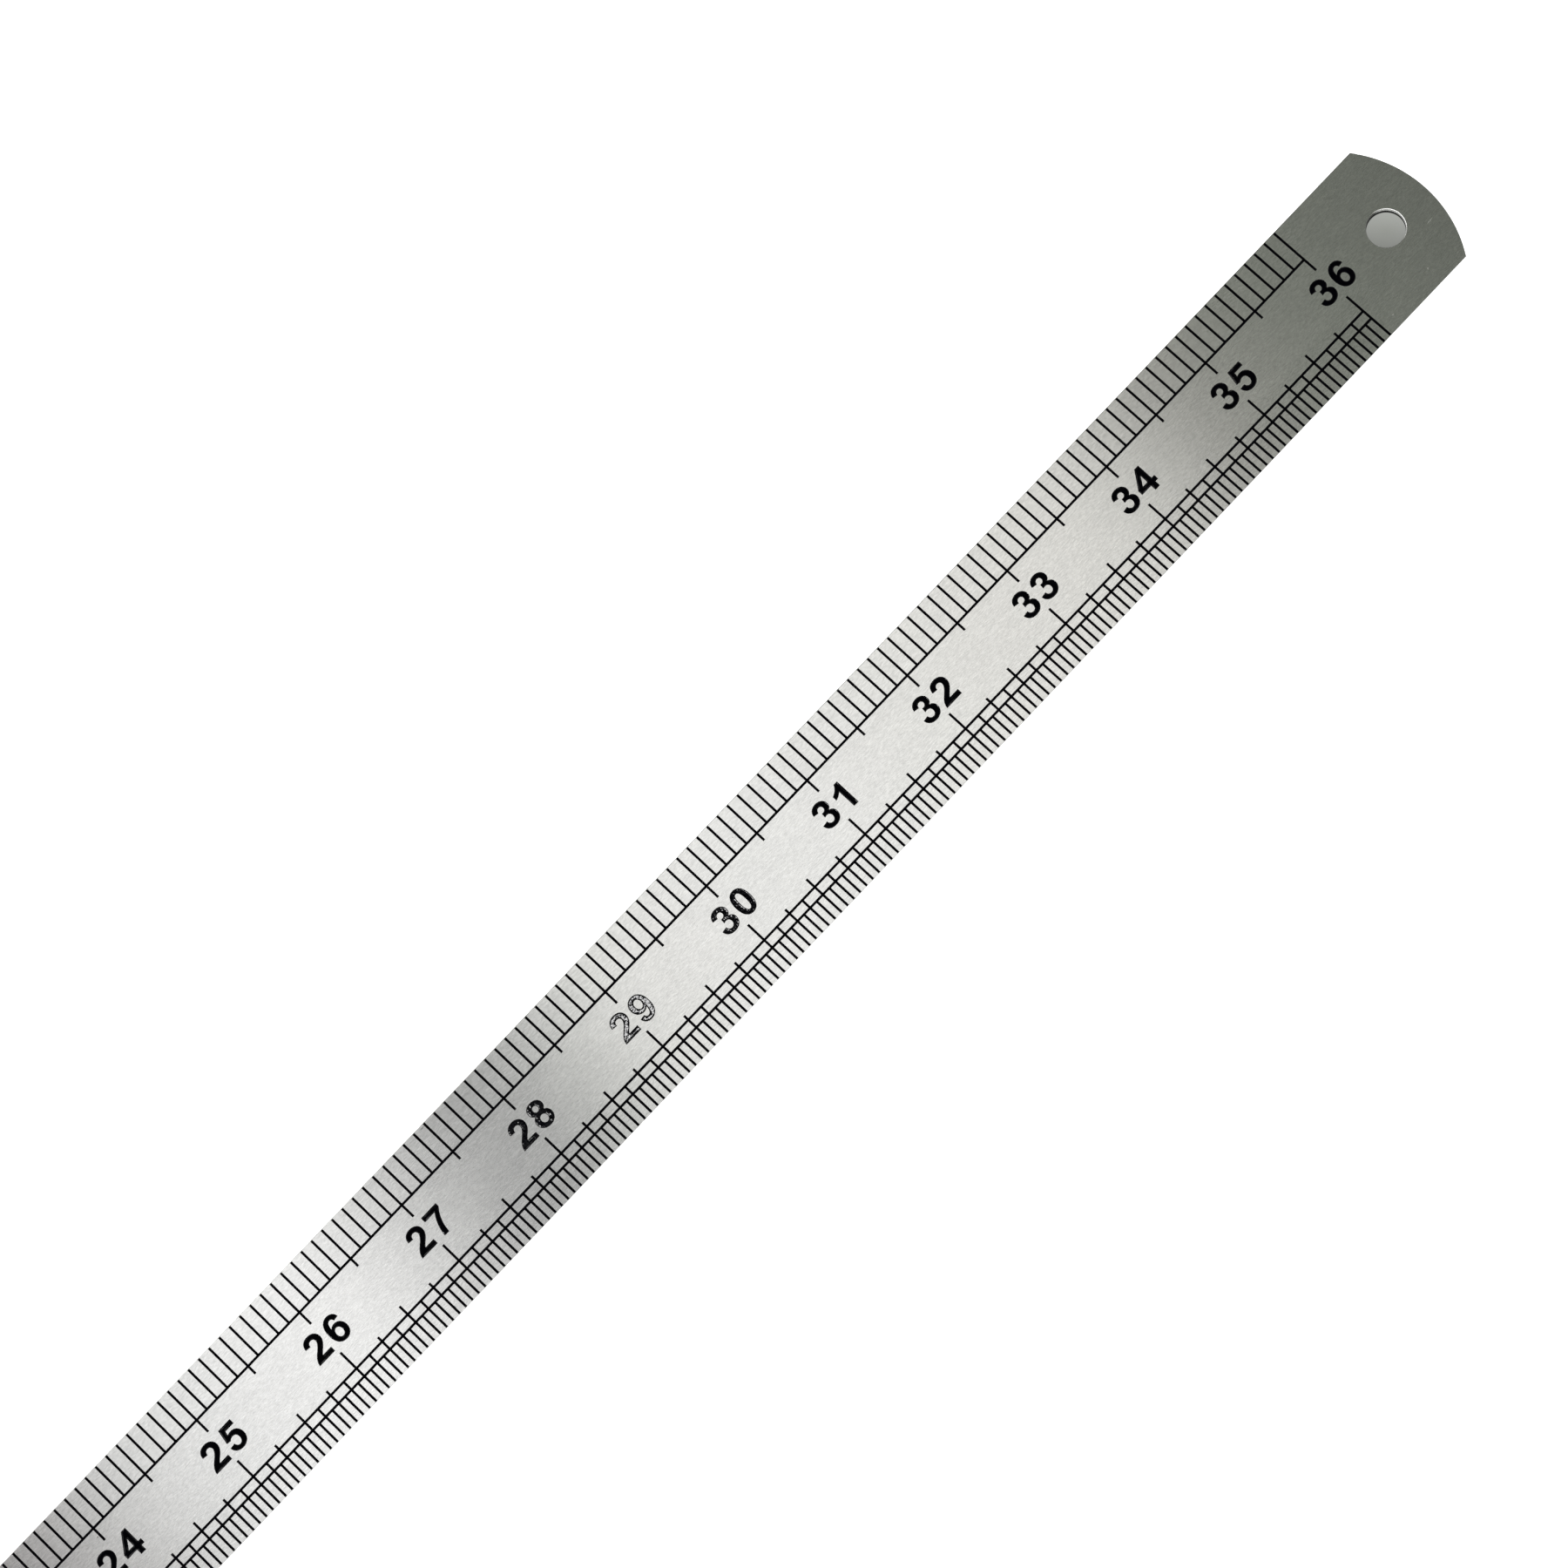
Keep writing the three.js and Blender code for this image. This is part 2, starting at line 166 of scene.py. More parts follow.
DIGITS = {
    0: (5.5, [
        [
            ("M", 34.5, 100.8),
            ("C", 12.5, 100.8, 0.5, 82, 0.5, 49.8),
            ("C", 0.5, 17.5, 12.5, -1.2, 34.5, -1.2),
            ("C", 56.5, -1.2, 68.5, 17.5, 68.5, 49.8),
            ("C", 68.5, 82, 56.5, 100.8, 34.5, 100.8),
        ],
        [
            ("M", 34.5, 86),
            ("C", 44, 86, 48.3, 73, 48.3, 49.8),
            ("C", 48.3, 26.5, 44, 14, 34.5, 14),
            ("C", 25, 14, 20.8, 26.5, 20.8, 49.8),
            ("C", 20.8, 73, 25, 86, 34.5, 86),
        ],
    ]),
    1: (11, [
        [
            ("M", 48, -0.5),
            ("L", 48, 100.8),
            ("L", 32.4, 100.8),
            ("C", 30.2, 94.6, 25.7, 89, 19, 83.8),
            ("C", 12.3, 78.6, 6, 75.2, 0.3, 73.3),
            ("L", 0.3, 57),
            ("C", 11, 60, 20.5, 64.8, 28.5, 71.3),
            ("L", 28.5, -0.5),
        ],
    ]),
    2: (3.5, [
        [
            ("M", 0, 0),
            ("L", 71, 0),
            ("L", 71, 18),
            ("L", 31.5, 18),
            ("C", 38, 27.5, 50, 36, 57.5, 43.5),
            ("C", 66, 52, 70.5, 61.5, 70.5, 71.5),
            ("C", 70.5, 89, 57, 101, 37, 101),
            ("C", 17, 101, 4.5, 91, 3, 71.3),
            ("L", 22, 69.3),
            ("C", 22.5, 79.5, 28.5, 84, 36.5, 84),
            ("C", 44.5, 84, 50, 79, 50, 71.5),
            ("C", 50, 65.5, 47, 60, 41, 53),
            ("C", 35, 46, 24, 37.5, 16, 30),
            ("C", 7, 21, 1.5, 11, 0, 0),
        ],
    ]),
    3: (5.3, [
        [
            ("M", 2.3, 75),
            ("L", 20.8, 71.6),
            ("C", 22.5, 80.5, 28, 85, 35, 85),
            ("C", 42, 85, 46.8, 80, 46.8, 73.3),
            ("C", 46.8, 65.5, 41.5, 60.3, 33, 60.3),
            ("L", 28.5, 60.5),
            ("L", 27, 45.2),
            ("C", 30, 46.1, 33, 46.5, 36, 46.5),
            ("C", 45, 46.5, 51, 40.5, 51, 31),
            ("C", 51, 20.5, 44.5, 14, 35.8, 14),
            ("C", 27.5, 14, 21.2, 19.5, 20, 29.3),
            ("L", 0.5, 26.5),
            ("C", 2.2, 9.5, 15, -1, 35.6, -1),
            ("C", 57, -1, 71.8, 12.5, 71.8, 31),
            ("C", 71.8, 43, 64.5, 51, 53, 53.3),
            ("C", 62, 57.2, 67, 64.5, 67, 74),
            ("C", 67, 90, 53.5, 101, 35.5, 101),
            ("C", 18, 101, 5, 91.5, 2.3, 75),
        ],
    ]),
    4: (2.5, [
        [
            ("M", 44.8, -0.5),
            ("L", 65, -0.5),
            ("L", 65, 20.5),
            ("L", 78.3, 20.5),
            ("L", 78.3, 37.3),
            ("L", 65, 37.3),
            ("L", 65, 101),
            ("L", 47.3, 101),
            ("L", 0.5, 37.8),
            ("L", 0.5, 20.5),
            ("L", 44.8, 20.5),
        ],
        [("M", 45.2, 37.3), ("L", 20.6, 37.3), ("L", 45.2, 70.6)],
    ]),
    5: (6.1, [
        [
            ("M", 12, 98.5),
            ("L", 2.3, 47),
            ("L", 17.5, 44.8),
            ("C", 22, 49.3, 27.5, 51.8, 33.6, 51.8),
            ("C", 43.8, 51.8, 50, 45.2, 50, 33.4),
            ("C", 50, 21, 43.8, 13.6, 34.6, 13.6),
            ("C", 27, 13.6, 21.2, 19, 19.7, 28.2),
            ("L", 0.3, 26),
            ("C", 2.2, 9.5, 14.5, -1.2, 34, -1.2),
            ("C", 55.5, -1.2, 70.5, 13.5, 70.5, 35),
            ("C", 70.5, 54, 57.5, 68, 40, 68),
            ("C", 34.5, 68, 29, 67, 23.6, 64.5),
            ("L", 26.8, 81),
            ("L", 66, 81),
            ("L", 66, 98.5),
        ],
    ]),
    6: (5.7, SIX),
    7: (5.9, [
        [
            ("M", 0.5, 98.5),
            ("L", 0.5, 80.5),
            ("L", 47.5, 80.5),
            ("C", 30, 58, 18.5, 29, 15.5, -0.5),
            ("L", 35, -0.5),
            ("C", 37.5, 37, 53, 67, 70, 84.5),
            ("L", 70, 98.5),
        ],
    ]),
    8: (5, [
        [
            ("M", 35, 101),
            ("C", 16, 101, 3.8, 90.5, 3.8, 75),
            ("C", 3.8, 66.3, 8.5, 58.5, 17, 54.3),
            ("C", 6.5, 50, 0.5, 41.5, 0.5, 30),
            ("C", 0.5, 11.5, 14.5, -1.2, 35.5, -1.2),
            ("C", 56.5, -1.2, 70.5, 12, 70.5, 30.5),
            ("C", 70.5, 41.5, 64.5, 49.8, 54, 54.2),
            ("C", 62, 58.5, 66.8, 66, 66.8, 75.5),
            ("C", 66.8, 90.5, 54.5, 101, 35, 101),
        ],
        ring(35.2, 73.5, 12, 12.5),
        ring(35.5, 29.8, 14.8, 16.2),
    ]),
    9: (5.2, half_turn(SIX, 70)),
}

# ------------------------------------------------------------------ outlines


def area2(p):
    x, y = p[:, 0], p[:, 1]
    return float(np.sum(x * np.roll(y, -1) - np.roll(x, -1) * y))


def facing(p, left):
    """The outline with its material on its left: outer outlines run anticlockwise, holes clockwise."""
    return p if (area2(p) > 0) == left else p[::-1].copy()


def traced(outline, step):
    """A digit's outline as points, a step apart along its curves."""
    points, here = [], None
    for command, *n in outline:
        if command in "ML":
            here = np.array(n, float)
            points.append(here)
        else:
            a, b, c, d = here, np.array(n[0:2], float), np.array(n[2:4], float), np.array(n[4:6], float)
            t = np.linspace(0, 1, 33)[:, None]
            fine = a * (1 - t) ** 3 + 3 * b * t * (1 - t) ** 2 + 3 * c * t**2 * (1 - t) + d * t**3
            run = np.r_[0, np.cumsum(np.hypot(*np.diff(fine, axis=0).T))]
            count = max(2, int(round(run[-1] / step)))
            for s in np.linspace(0, run[-1], count + 1)[1:]:
                points.append(np.array([np.interp(s, run, fine[:, 0]), np.interp(s, run, fine[:, 1])]))
            here = d
    if np.hypot(*(points[0] - points[-1])) < 1e-6:
        points.pop()
    return np.array(points)


UNIT = NUMERAL_HEIGHT / 100


def digit_outlines(digit, cell_x):
    space, outlines = DIGITS[digit]
    at = np.array([cell_x + space * UNIT, NUMERAL_BASE_Y])
    return [
        pushed(facing(traced(o, 0.15 / UNIT) * UNIT + at, i == 0), -BOLD)
        for i, o in enumerate(outlines)
    ]


def numeral_digits(number):
    mark = inch_x(number)
    digits = [int(c) for c in str(number)]
    if len(digits) == 1:
        return [digit_outlines(digits[0], mark + SINGLE_CELL_X)]
    return [
        digit_outlines(digits[0], mark + TENS_CELL_X),
        digit_outlines(digits[1], mark + UNITS_CELL_X),
    ]


def whole(a, step):
    return abs(a / step - round(a / step)) < 1e-6


def comb_outline(start_x, low, low_tips, high, high_tips):
    """An outline from its left end, along the teeth below and back along the teeth above.
    The tips are (x, y) of each tick; the last one ends the scale."""
    points = [(start_x, high), (start_x, low)]

    def teeth(tips, side):
        out = []
        for x, y in tips:
            out += [(x - LINE / 2, side), (x - LINE / 2, y), (x + LINE / 2, y), (x + LINE / 2, side)]
        return out

    points += teeth(low_tips, low)[:-1]
    points += teeth(high_tips, high)[:-1][::-1]
    return facing(np.array(points, float), True)


START_X = inch_x(0) + LINE


def tenths_outlines():
    up, down = [], []
    for i in range(1, SCALE_INCHES * 10 + 1):
        at = i / 10
        x = inch_x(at)
        up.append((x, TENTHS_TIP_Y))
        if whole(at, 1):
            down.append((x, TENTHS_INCH_Y))
        elif whole(at, 0.5):
            down.append((x, TENTHS_HALF_Y))
    return [comb_outline(START_X, TENTHS_LINE_Y - LINE / 2, down, TENTHS_LINE_Y + LINE / 2, up)]


def sixteenths_outlines():
    up, down, cross = [], [], []
    for i in range(1, SCALE_INCHES * 16 + 1):
        at = i / 16
        x = inch_x(at)
        down.append((x, SIXTEENTHS_TIP_Y))
        if i % 2 == 0:
            cross.append(x)
        if i % 16 == 0:
            up.append((x, SIXTEENTHS_INCH_Y))
        elif i % 8 == 0:
            up.append((x, SIXTEENTHS_HALF_Y))
        elif i % 4 == 0:
            up.append((x, SIXTEENTHS_QUARTER_Y))
    outer = comb_outline(START_X, OUTER_LINE_Y - LINE / 2, down, INNER_LINE_Y + LINE / 2, up)
    low, high = OUTER_LINE_Y + LINE / 2, INNER_LINE_Y - LINE / 2
    windows, x0 = [], START_X + LINE
    for x in cross:
        x1 = x - LINE / 2
        windows.append(facing(np.array([(x0, low), (x1, low), (x1, high), (x0, high)], float), False))
        x0 = x + LINE / 2
    return [outer] + windows


def pushed(p, d):
    """The outline moved into its material by d, with mitred corners."""
    e = np.roll(p, -1, 0) - p
    e /= np.hypot(e[:, 0], e[:, 1])[:, None]
    n = np.stack([-e[:, 1], e[:, 0]], 1)
    m = np.roll(n, 1, 0)
    k = 1 + np.sum(n * m, 1)
    o = (n + m) / np.maximum(k, 0.35)[:, None]
    return p + o * d


# ------------------------------------------------------------------ meshes


class Build:
    """Collects points and faces, and makes one mesh of them."""

    def __init__(self):
        self.v, self.f, self.smooth, self.slots, self.count = [], [], [], [], 0

    def points(self, xyz):
        xyz = np.asarray(xyz, float)
        self.v.append(xyz)
        start = self.count
        self.count += len(xyz)
        return np.arange(start, start + len(xyz))

    def faces(self, faces, smooth, slot=0):
        for f in faces:
            self.f.append(tuple(int(i) for i in f))
            self.smooth.append(smooth)
            self.slots.append(slot)

    def band(self, a, b, smooth, slot=0):
        """Quads between two closed rings of the same number of points."""
        a2, b2 = np.roll(a, -1), np.roll(b, -1)
        self.faces(np.stack([a, a2, b2, b], 1), smooth, slot)

    def object(self, name, *materials):
        mesh = bpy.data.meshes.new(name)
        v = np.concatenate(self.v) * MM
        mesh.from_pydata(v.tolist(), [], self.f)
        for material in materials:
            mesh.materials.append(material)
        mesh.polygons.foreach_set("use_smooth", np.array(self.smooth, bool))
        mesh.polygons.foreach_set("material_index", np.array(self.slots, np.int32))
        mesh.update()
        mesh.validate()
        obj = bpy.data.objects.new(name, mesh)
        scene.collection.objects.link(obj)
        return obj


def triangulate(outlines, extra=None):
    """Triangles that fill the first outline and leave the others open. Points keep their order:
    the outlines' points in turn, and then the extra ones."""
    points = np.concatenate(outlines + ([extra] if extra is not None and len(extra) else []))
    faces, at = [], 0
    for o in outlines:
        loop = list(range(at, at + len(o)))
        faces.append(loop if area2(o) > 0 else loop[::-1])
        at += len(o)
    _, _, tris, orig, _, inside = delaunay_2d_cdt(
        [Vector(p) for p in points.tolist()], [], faces, 1, 1e-7
    )
    place = [o[0] if o else -1 for o in orig]
    made = []
    for tri, ids in zip(tris, inside):
        if 0 in ids and len(ids) == 1:
            t = [place[i] for i in tri]
            if min(t) < 0:
                continue
            made.append(t)
    made = np.array(made)
    a, b, c = points[made[:, 0]], points[made[:, 1]], points[made[:, 2]]
    turned = (b[:, 0] - a[:, 0]) * (c[:, 1] - a[:, 1]) - (b[:, 1] - a[:, 1]) * (c[:, 0] - a[:, 0]) < 0
    made[turned] = made[turned][:, ::-1]
    return made


def distance(points, outlines):
    """How far each point is from the nearest outline."""
    best = np.full(len(points), 1e9)
    for o in outlines:
        a, b = o, np.roll(o, -1, 0)
        ab = b - a
        t = np.einsum("pij,ij->pi", points[:, None, :] - a[None], ab) / np.sum(ab * ab, 1)
        t = np.clip(t, 0, 1)
        near = a[None] + t[..., None] * ab[None]
        d = np.hypot(points[:, None, 0] - near[..., 0], points[:, None, 1] - near[..., 1])
        best = np.minimum(best, d.min(1))
    return best


def contains(outlines, points):
    """Even-odd test of the points against all the outlines."""
    inside = np.zeros(len(points), bool)
    x, y = points[:, 0], points[:, 1]
    for o in outlines:
        a, b = o, np.roll(o, -1, 0)
        for (x0, y0), (x1, y1) in zip(a, b):
            if y0 == y1:
                continue
            cut = (y0 > y) != (y1 > y)
            inside ^= cut & (x < (x1 - x0) * (y - y0) / (y1 - y0) + x0)
    return inside


WALL_TOP = T - 0.004  # where the enamel meets the pocket's wall


def surface(d, dish, reach):
    """Height of the enamel at a distance from the pocket's wall: it levels out at its reach."""
    s = np.clip(np.asarray(d, float) / reach, 0, 1)
    return WALL_TOP - dish * (1 - (1 - s) ** 2.2)


def digit_fill(build, outlines):
    """One digit's pool of enamel, closed."""
    rings = []
    for d in (0.045, 0.10, 0.16):
        for o in outlines:
            p = pushed(o, d)
            ok = distance(p, outlines) > 0.93 * d
            ok &= contains(outlines, p)
            rings.append(p[ok])
    lo, hi = outlines[0].min(0), outlines[0].max(0)
    s = 0.20
    gx = np.arange(lo[0], hi[0], s)
    gy = np.arange(lo[1], hi[1], s * 0.866)
    grid = np.array([(x + (s / 2 if j % 2 else 0), y) for j, y in enumerate(gy) for x in gx])
    grid = grid[contains(outlines, grid)]
    grid = grid[distance(grid, outlines) > 0.25]
    extra = np.concatenate(rings + [grid])
    # no two points closer than a third of a step
    keep = []
    for i, p in enumerate(extra):
        if all((p[0] - extra[j][0]) ** 2 + (p[1] - extra[j][1]) ** 2 > 0.03**2 for j in keep[-260:]):
            keep.append(i)
    extra = extra[keep]
    edge = np.concatenate(outlines)
    tris = triangulate(outlines, extra)
    z = np.r_[np.full(len(edge), WALL_TOP), surface(distance(extra, outlines), 0.013, 0.20)]
    top = build.points(np.c_[np.r_[edge, extra], z])
    build.faces(top[tris], True)
    under = build.points(np.c_[edge, np.full(len(edge), T - ETCH)])
    build.faces(under[triangulate(outlines)][:, ::-1], False)
    at = 0
    for o in outlines:
        a, b = top[at : at + len(o)], under[at : at + len(o)]
        build.band(b, a, False)
        at += len(o)


def scale_fill(build, outlines, chunks):
    """A scale's comb of enamel, closed. All its corners are square, so its rings are plain offsets."""
    levels = [0.0, 0.035, 0.075, 0.115]
    rings = []
    for d in levels:
        z = float(surface(d, 0.004, 0.15))
        rings.append([build.points(np.c_[pushed(o, d), np.full(len(o), z)]) for o in outlines])
    for a, b in zip(rings, rings[1:]):
        for ra, rb in zip(a, b):
            build.band(ra, rb, True)
    inner = [pushed(o, levels[-1]) for o in outlines]
    tris = triangulate(inner)
    build.faces(np.concatenate(rings[-1])[tris], True)
    under = [build.points(np.c_[o, np.full(len(o), T - ETCH)]) for o in outlines]
    build.faces(np.concatenate(under)[triangulate(outlines)][:, ::-1], False)
    for ra, rb in zip(under, rings[0]):
        build.band(ra, rb, False)


# ------------------------------------------------------------------ the blade


def blade_outline():
    """The blade's outline, anticlockwise, with how far each point's edge is rounded over."""
    cx = LENGTH / 2 - END_RADIUS
    top = math.asin((HALF - END_CENTRE_Y) / END_RADIUS)
    bottom = math.asin((-HALF - END_CENTRE_Y) / END_RADIUS)
    points = [(-LENGTH / 2, HALF), (-LENGTH / 2, -HALF)]
    n = 96
    for i in range(n + 1):
        a = bottom + (top - bottom) * i / n
        y = -HALF if i == 0 else HALF if i == n else END_CENTRE_Y + END_RADIUS * math.sin(a)
        points.append((cx + END_RADIUS * math.cos(a), y))
    return facing(np.array(points), True)


def drawn_in(p, amount):
    """The blade's outline drawn in by its own amount on each side: ends, sixteenths edge, arc and tenths edge."""
    q = p.copy()
    e = np.roll(p, -1, 0) - p
    e /= np.hypot(e[:, 0], e[:, 1])[:, None]
    n = np.stack([-e[:, 1], e[:, 0]], 1)  # inward normal of the side that leaves each point
    side = np.empty(len(p))
    for i in range(len(p)):
        if abs(n[i, 1] - 1) < 1e-6:
            side[i] = amount[1]
        elif abs(n[i, 1] + 1) < 1e-6:
            side[i] = amount[2]
        else:
            side[i] = amount[0]
    m, w = np.roll(n, 1, 0), np.roll(side, 1)
    for i in range(len(p)):
        a = np.array([n[i], m[i]])
        if abs(np.linalg.det(a)) < 1e-4:
            q[i] = p[i] + n[i] * side[i]
        else:
            q[i] = p[i] + np.linalg.solve(a, [side[i], w[i]])
    return q


def circle(r, n=128):
    a = -2 * np.pi * np.arange(n) / n
    return np.c_[HOLE_X + r * np.cos(a), HOLE_Y + r * np.sin(a)]


def blade(material, sheared, marks):
    build = Build()
    outline = blade_outline()
    sides = np.array([EDGE_END, EDGE_SIXTEENTHS, EDGE_TENTHS])
    steps = [math.radians(a) for a in (0, 22.5, 45, 67.5, 90)]

    # outer side, from the face's border over the rounded edge, down and under
    rings = []
    for a in steps:
        q = drawn_in(outline, sides * (1 - math.sin(a)))
        r = np.array([rounding(p, outline, sides) for p in outline])
        rings.append(build.points(np.c_[q, T - r * (1 - math.cos(a))]))
    for a in reversed(steps):
        q = drawn_in(outline, sides * (1 - math.sin(a)))
        r = np.array([rounding(p, outline, sides) for p in outline])
        rings.append(build.points(np.c_[q, r * (1 - math.cos(a))]))
    for i, (a, b) in enumerate(zip(rings, rings[1:])):
        build.band(b, a, i != len(steps) - 1)
    face_ring, back_ring = rings[0], rings[-1]
    face_outline = drawn_in(outline, sides)

    # the hang hole, punched from the face: its edge is drawn in a little, the wall runs straight down and its
    # bottom edge is broken a little
    over, draft = 0.10, 0.0
    profile = [(HOLE_R + over * (1 - math.sin(a)), T - over * (1 - math.cos(a))) for a in steps]
    profile += [(HOLE_R - draft, 0.06), (HOLE_R - draft + 0.02, 0.02), (HOLE_R - draft + 0.06, 0.0)]
    hole_rings = [build.points(np.c_[circle(r), np.full(128, z)]) for r, z in profile]
    for i, (a, b) in enumerate(zip(hole_rings, hole_rings[1:])):
        build.band(b, a, True, slot=1 if i >= 2 else 0)
    hole_face, hole_back = circle(profile[0][0]), circle(profile[-1][0])

    # the face, open over every mark
    bodies = [o[0] for o in marks]
    islands = [h for o in marks for h in o[1:]]
    outlines = [face_outline, hole_face] + bodies
    tris = triangulate(outlines)
    ids = [face_ring, hole_rings[0]]
    rims = []
    for o in marks:
        rims.append([build.points(np.c_[h, np.full(len(h), T)]) for h in o])
        ids.append(rims[-1][0])
    build.faces(np.concatenate(ids)[tris], False)
    # islands of steel inside the marks: counters of digits and windows of the scale
    for o, rim in zip(marks, rims):
        for h, r in zip(o[1:], rim[1:]):
            build.faces(r[triangulate([h])], False)
        floor = [build.points(np.c_[h, np.full(len(h), T - ETCH)]) for h in o]
        build.faces(np.concatenate(floor)[triangulate(o)], False)
        for a, b in zip(rim, floor):
            build.band(a, b, False)

    # the back
    tris = triangulate([drawn_in(outline, sides), hole_back])
    build.faces(np.concatenate([back_ring, hole_rings[-1]])[tris][:, ::-1], False)
    return build.object("rule_blade", material, sheared)


def rounding(p, outline, sides):
    """How far the edge is rounded at a point of the blade's outline."""
    if abs(p[1] - HALF) < 1e-6:
        return sides[2]
    if abs(p[1] + HALF) < 1e-6:
        return sides[1]
    return sides[0]


# ------------------------------------------------------------------ materials


def nodes_of(name):
    m = bpy.data.materials.new(name)
    m.use_nodes = True
    t = m.node_tree
    t.nodes.clear()
    out = t.nodes.new("ShaderNodeOutputMaterial")
    b = t.nodes.new("ShaderNodeBsdfPrincipled")
    t.links.new(b.outputs[0], out.inputs[0])
    return m, t, b


def add(t, kind, **values):
    n = t.nodes.new(kind)
    for k, v in values.items():
        if hasattr(n, k):
            setattr(n, k, v)
        else:
            n.inputs[k.replace("_", " ")].default_value = v
    return n


def steel_material():
    m, t, b = nodes_of("brushed_steel")
    b.inputs["Metallic"].default_value = 1.0
    b.inputs["Anisotropic"].default_value = 1.0
    L = t.links.new
    where = add(t, "ShaderNodeTexCoord")
    # millimetres, so that every scale below is a real one
    mm = add(t, "ShaderNodeVectorMath", operation="SCALE")
    mm.inputs["Scale"].default_value = 1000.0
    L(where.outputs["Object"], mm.inputs[0])

    def noise(scale_x, scale_y, detail, rough, shift=0.0):
        mapping = add(t, "ShaderNodeMapping")
        mapping.inputs["Scale"].default_value = (scale_x, scale_y, scale_y)
        mapping.inputs["Location"].default_value = (shift, shift * 0.7, shift * 0.3)
        L(mm.outputs[0], mapping.inputs["Vector"])
        n = add(t, "ShaderNodeTexNoise")
        n.inputs["Scale"].default_value = 1.0
        n.inputs["Detail"].default_value = detail
        n.inputs["Roughness"].default_value = rough
        L(mapping.outputs[0], n.inputs["Vector"])
        return n.outputs["Fac"]

    grain = noise(1.1, 3.4, 2.0, 0.55)  # the brushing: lines a tenth of a millimetre apart and a few long
    fine = noise(1.3, 5.5, 2.0, 0.6, 11.0)  # the finest scratches
    streak = noise(0.02, 1.6, 2.0, 0.5, 31.0)  # longer streaks from the rolling
    mottle = noise(0.22, 0.45, 4.0, 0.6, 77.0)  # uneven patches a few millimetres across

    def ramp(source, stops):
        r = add(t, "ShaderNodeValToRGB")
        e = r.color_ramp.elements
        while len(e) > 1:
            e.remove(e[-1])
        e[0].position, e[0].color = stops[0][0], (*stops[0][1], 1)
        for p, c in stops[1:]:
            x = e.new(p)
            x.color = (*c, 1)
        L(source, r.inputs[0])
        return r.outputs["Color"]

    tint = ramp(mottle, [(0.3, (0.612, 0.612, 0.606)), (0.5, (0.62, 0.62, 0.613)), (0.7, (0.628, 0.628, 0.62))])
    lines = ramp(grain, [(0.3, (0.93, 0.93, 0.93)), (0.5, (1, 1, 1)), (0.7, (1.07, 1.07, 1.07))])
    hairs = ramp(fine, [(0.3, (0.91, 0.91, 0.91)), (0.5, (1, 1, 1)), (0.7, (1.09, 1.09, 1.09))])

    def multiplied(a, c):
        mix = add(t, "ShaderNodeMix", data_type="RGBA", blend_type="MULTIPLY")
        mix.inputs["Factor"].default_value = 1.0
        L(a, mix.inputs["A"])
        L(c, mix.inputs["B"])
        return mix.outputs["Result"]

    # wear on the face: where it is, how long and how wide (mm), how it is turned, and how strong it is
    def worn(marks):
        total = None
        for x, y, long, wide, turn, strength in marks:
            place = add(t, "ShaderNodeMapping", vector_type="TEXTURE")
            place.inputs["Location"].default_value = (x, y, T)
            place.inputs["Rotation"].default_value = (0, 0, math.radians(turn))
            place.inputs["Scale"].default_value = (long / 2, wide / 2, 0.5)
            L(mm.outputs[0], place.inputs["Vector"])
            far = add(t, "ShaderNodeVectorMath", operation="LENGTH")
            L(place.outputs[0], far.inputs[0])
            mask = add(t, "ShaderNodeMapRange")
            mask.inputs["From Min"].default_value = 0.4
            mask.inputs["From Max"].default_value = 1.0
            mask.inputs["To Min"].default_value = strength
            mask.inputs["To Max"].default_value = 0.0
            L(far.outputs["Value"], mask.inputs["Value"])
            if total is None:
                total = mask.outputs[0]
            else:
                both = add(t, "ShaderNodeMath", operation="MAXIMUM")
                L(total, both.inputs[0])
                L(mask.outputs[0], both.inputs[1])
                total = both.outputs[0]
        return total

    nicks = worn([
        (465.1, -4.9, 1.8, 0.17, 4, 0.6),
        (458.5, -10.5, 0.6, 0.2, 45, 0.6),
        (448.2, -11.7, 0.5, 0.26, 0, 0.5),
        (464.1, -12.4, 0.5, 0.25, 0, 0.15),
        (-87.0, 3.1, 1.2, 0.16, -6, 0.6),
        (-301.5, -4.4, 0.9, 0.2, 14, 0.6),
    ])
    spots = worn([
        (139.9, 5.0, 0.55, 0.3, 0, 0.7),
        (198.8, 11.1, 0.34, 0.3, 0, 0.6),
        (228.5, 13.4, 1.1, 0.24, 0, 0.6),
        (286.6, 2.9, 0.4, 0.25, 0, 0.35),
        (302.1, 9.2, 0.34, 0.28, 0, 0.5),
        (-20.3, -1.9, 0.4, 0.3, 0, 0.5),
        (-228.0, 4.2, 0.5, 0.28, 20, 0.5),
    ])

    def towards(a, color, factor):
        mix = add(t, "ShaderNodeMix", data_type="RGBA")
        L(factor, mix.inputs["Factor"])
        L(a, mix.inputs["A"])
        mix.inputs["B"].default_value = (*color, 1)
        return mix.outputs["Result"]

    base = multiplied(multiplied(tint, lines), hairs)
    base = towards(base, (0.12, 0.12, 0.11), spots)
    base = towards(base, (0.97, 0.97, 0.96), nicks)
    L(base, b.inputs["Base Color"])

